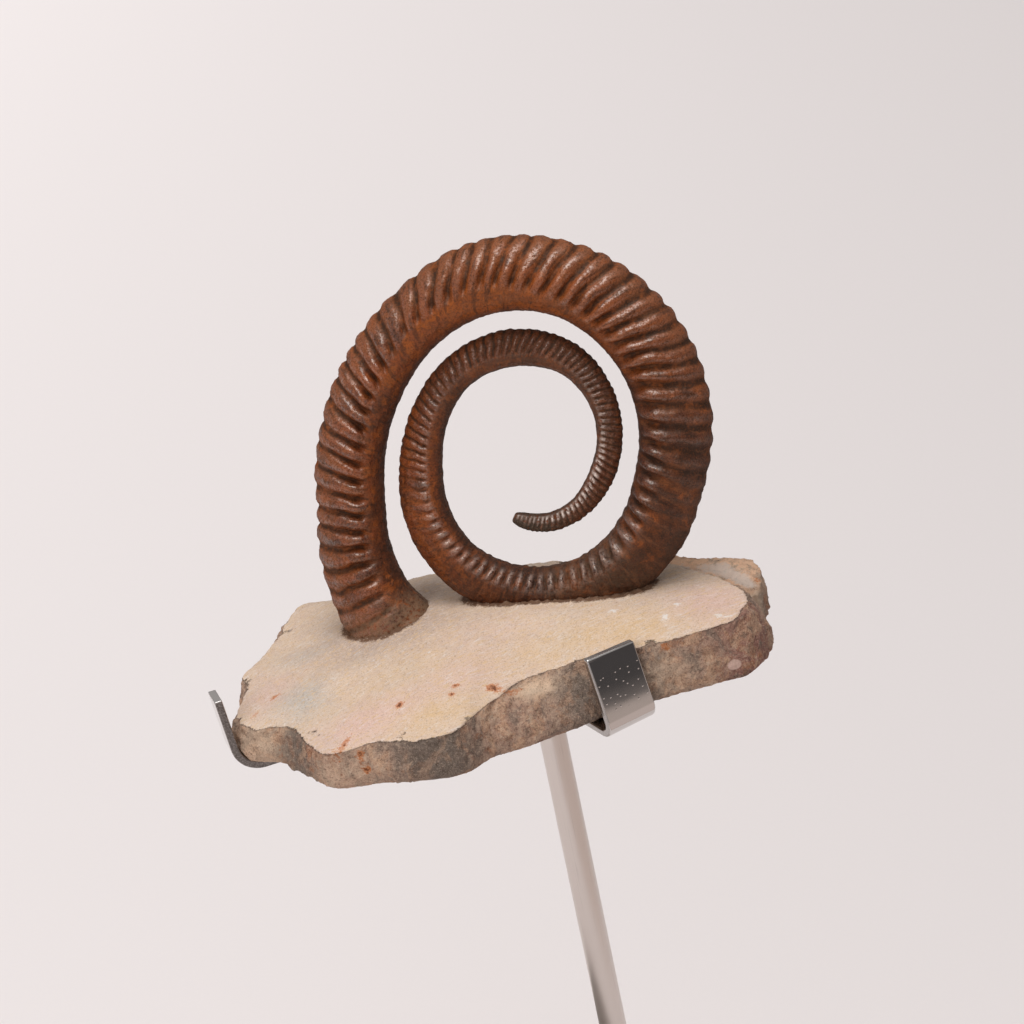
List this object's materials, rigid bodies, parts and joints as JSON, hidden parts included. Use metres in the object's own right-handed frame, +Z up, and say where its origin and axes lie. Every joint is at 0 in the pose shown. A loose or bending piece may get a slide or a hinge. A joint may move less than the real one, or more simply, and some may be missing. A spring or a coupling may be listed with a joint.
{
  "type": "fossil ammonite",
  "caption": "Open-coiled ribbed ammonite standing on its slab of limestone matrix, gripped at the slab's edge by a leaning bent-steel display stand.",
  "frame": {"origin": "centre of the base's flat underside, on the surface it stands on", "axes": "+Z up, front of the specimen towards -Y, so the fossil's open coil is seen face on from the front"},
  "size_m": [0.1271, 0.0912, 0.2363],
  "materials": {
    "fossil_shell": "reddish-brown mineralised shell with a broken waxy sheen, darker in the grooves",
    "limestone": "matt, tool-dressed cream and pink on top, rough grey-brown on the broken sides",
    "polished_steel": "polished, edges slightly rounded",
    "brushed_steel": "satin, brushed along its length"
  },
  "bodies": {
    "root": {"ammonite_coil": "fossil_shell", "matrix_slab": "limestone", "left_clip": "polished_steel", "front_clip": "polished_steel", "back_clip": "polished_steel", "hub_disc": "brushed_steel", "rod": "brushed_steel", "base_disc": "brushed_steel"}
  },
  "joints": []
}
